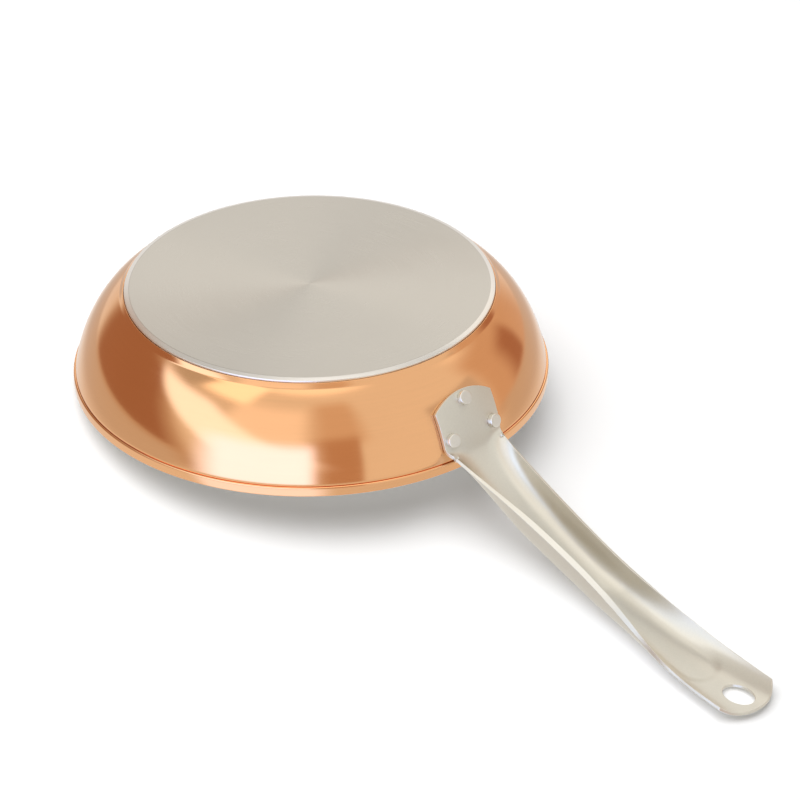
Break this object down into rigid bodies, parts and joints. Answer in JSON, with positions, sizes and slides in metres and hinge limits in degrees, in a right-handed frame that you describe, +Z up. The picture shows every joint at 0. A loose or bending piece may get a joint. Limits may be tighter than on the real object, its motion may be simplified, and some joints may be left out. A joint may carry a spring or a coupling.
{
  "type": "frying pan",
  "caption": "Round flared frying pan with a copper outside, a steel disc in its base and a long riveted steel channel handle with a hanging hole.",
  "frame": {"origin": "centre of the flat face under the base disc, which stands on the hob", "axes": "+Z up out of the bowl, +X along the handle away from the bowl, +Y to the left of someone looking along the handle from the bowl"},
  "size_m": [0.433, 0.24, 0.0996],
  "materials": {
    "copper": "polished copper with a soft sheen",
    "core": "plain rolled aluminium",
    "lining": "satin stainless steel, spun",
    "disc_steel": "stainless steel, turned in fine circles",
    "handle_steel": "satin stainless steel",
    "rivet_steel": "satin stainless steel"
  },
  "bodies": {
    "root": {"copper_jacket": "copper", "aluminium_core": "core", "steel_lining": "lining", "induction_disc": "disc_steel", "handle": "handle_steel", "rivet_top": "rivet_steel", "rivet_left": "rivet_steel", "rivet_right": "rivet_steel"}
  },
  "joints": []
}
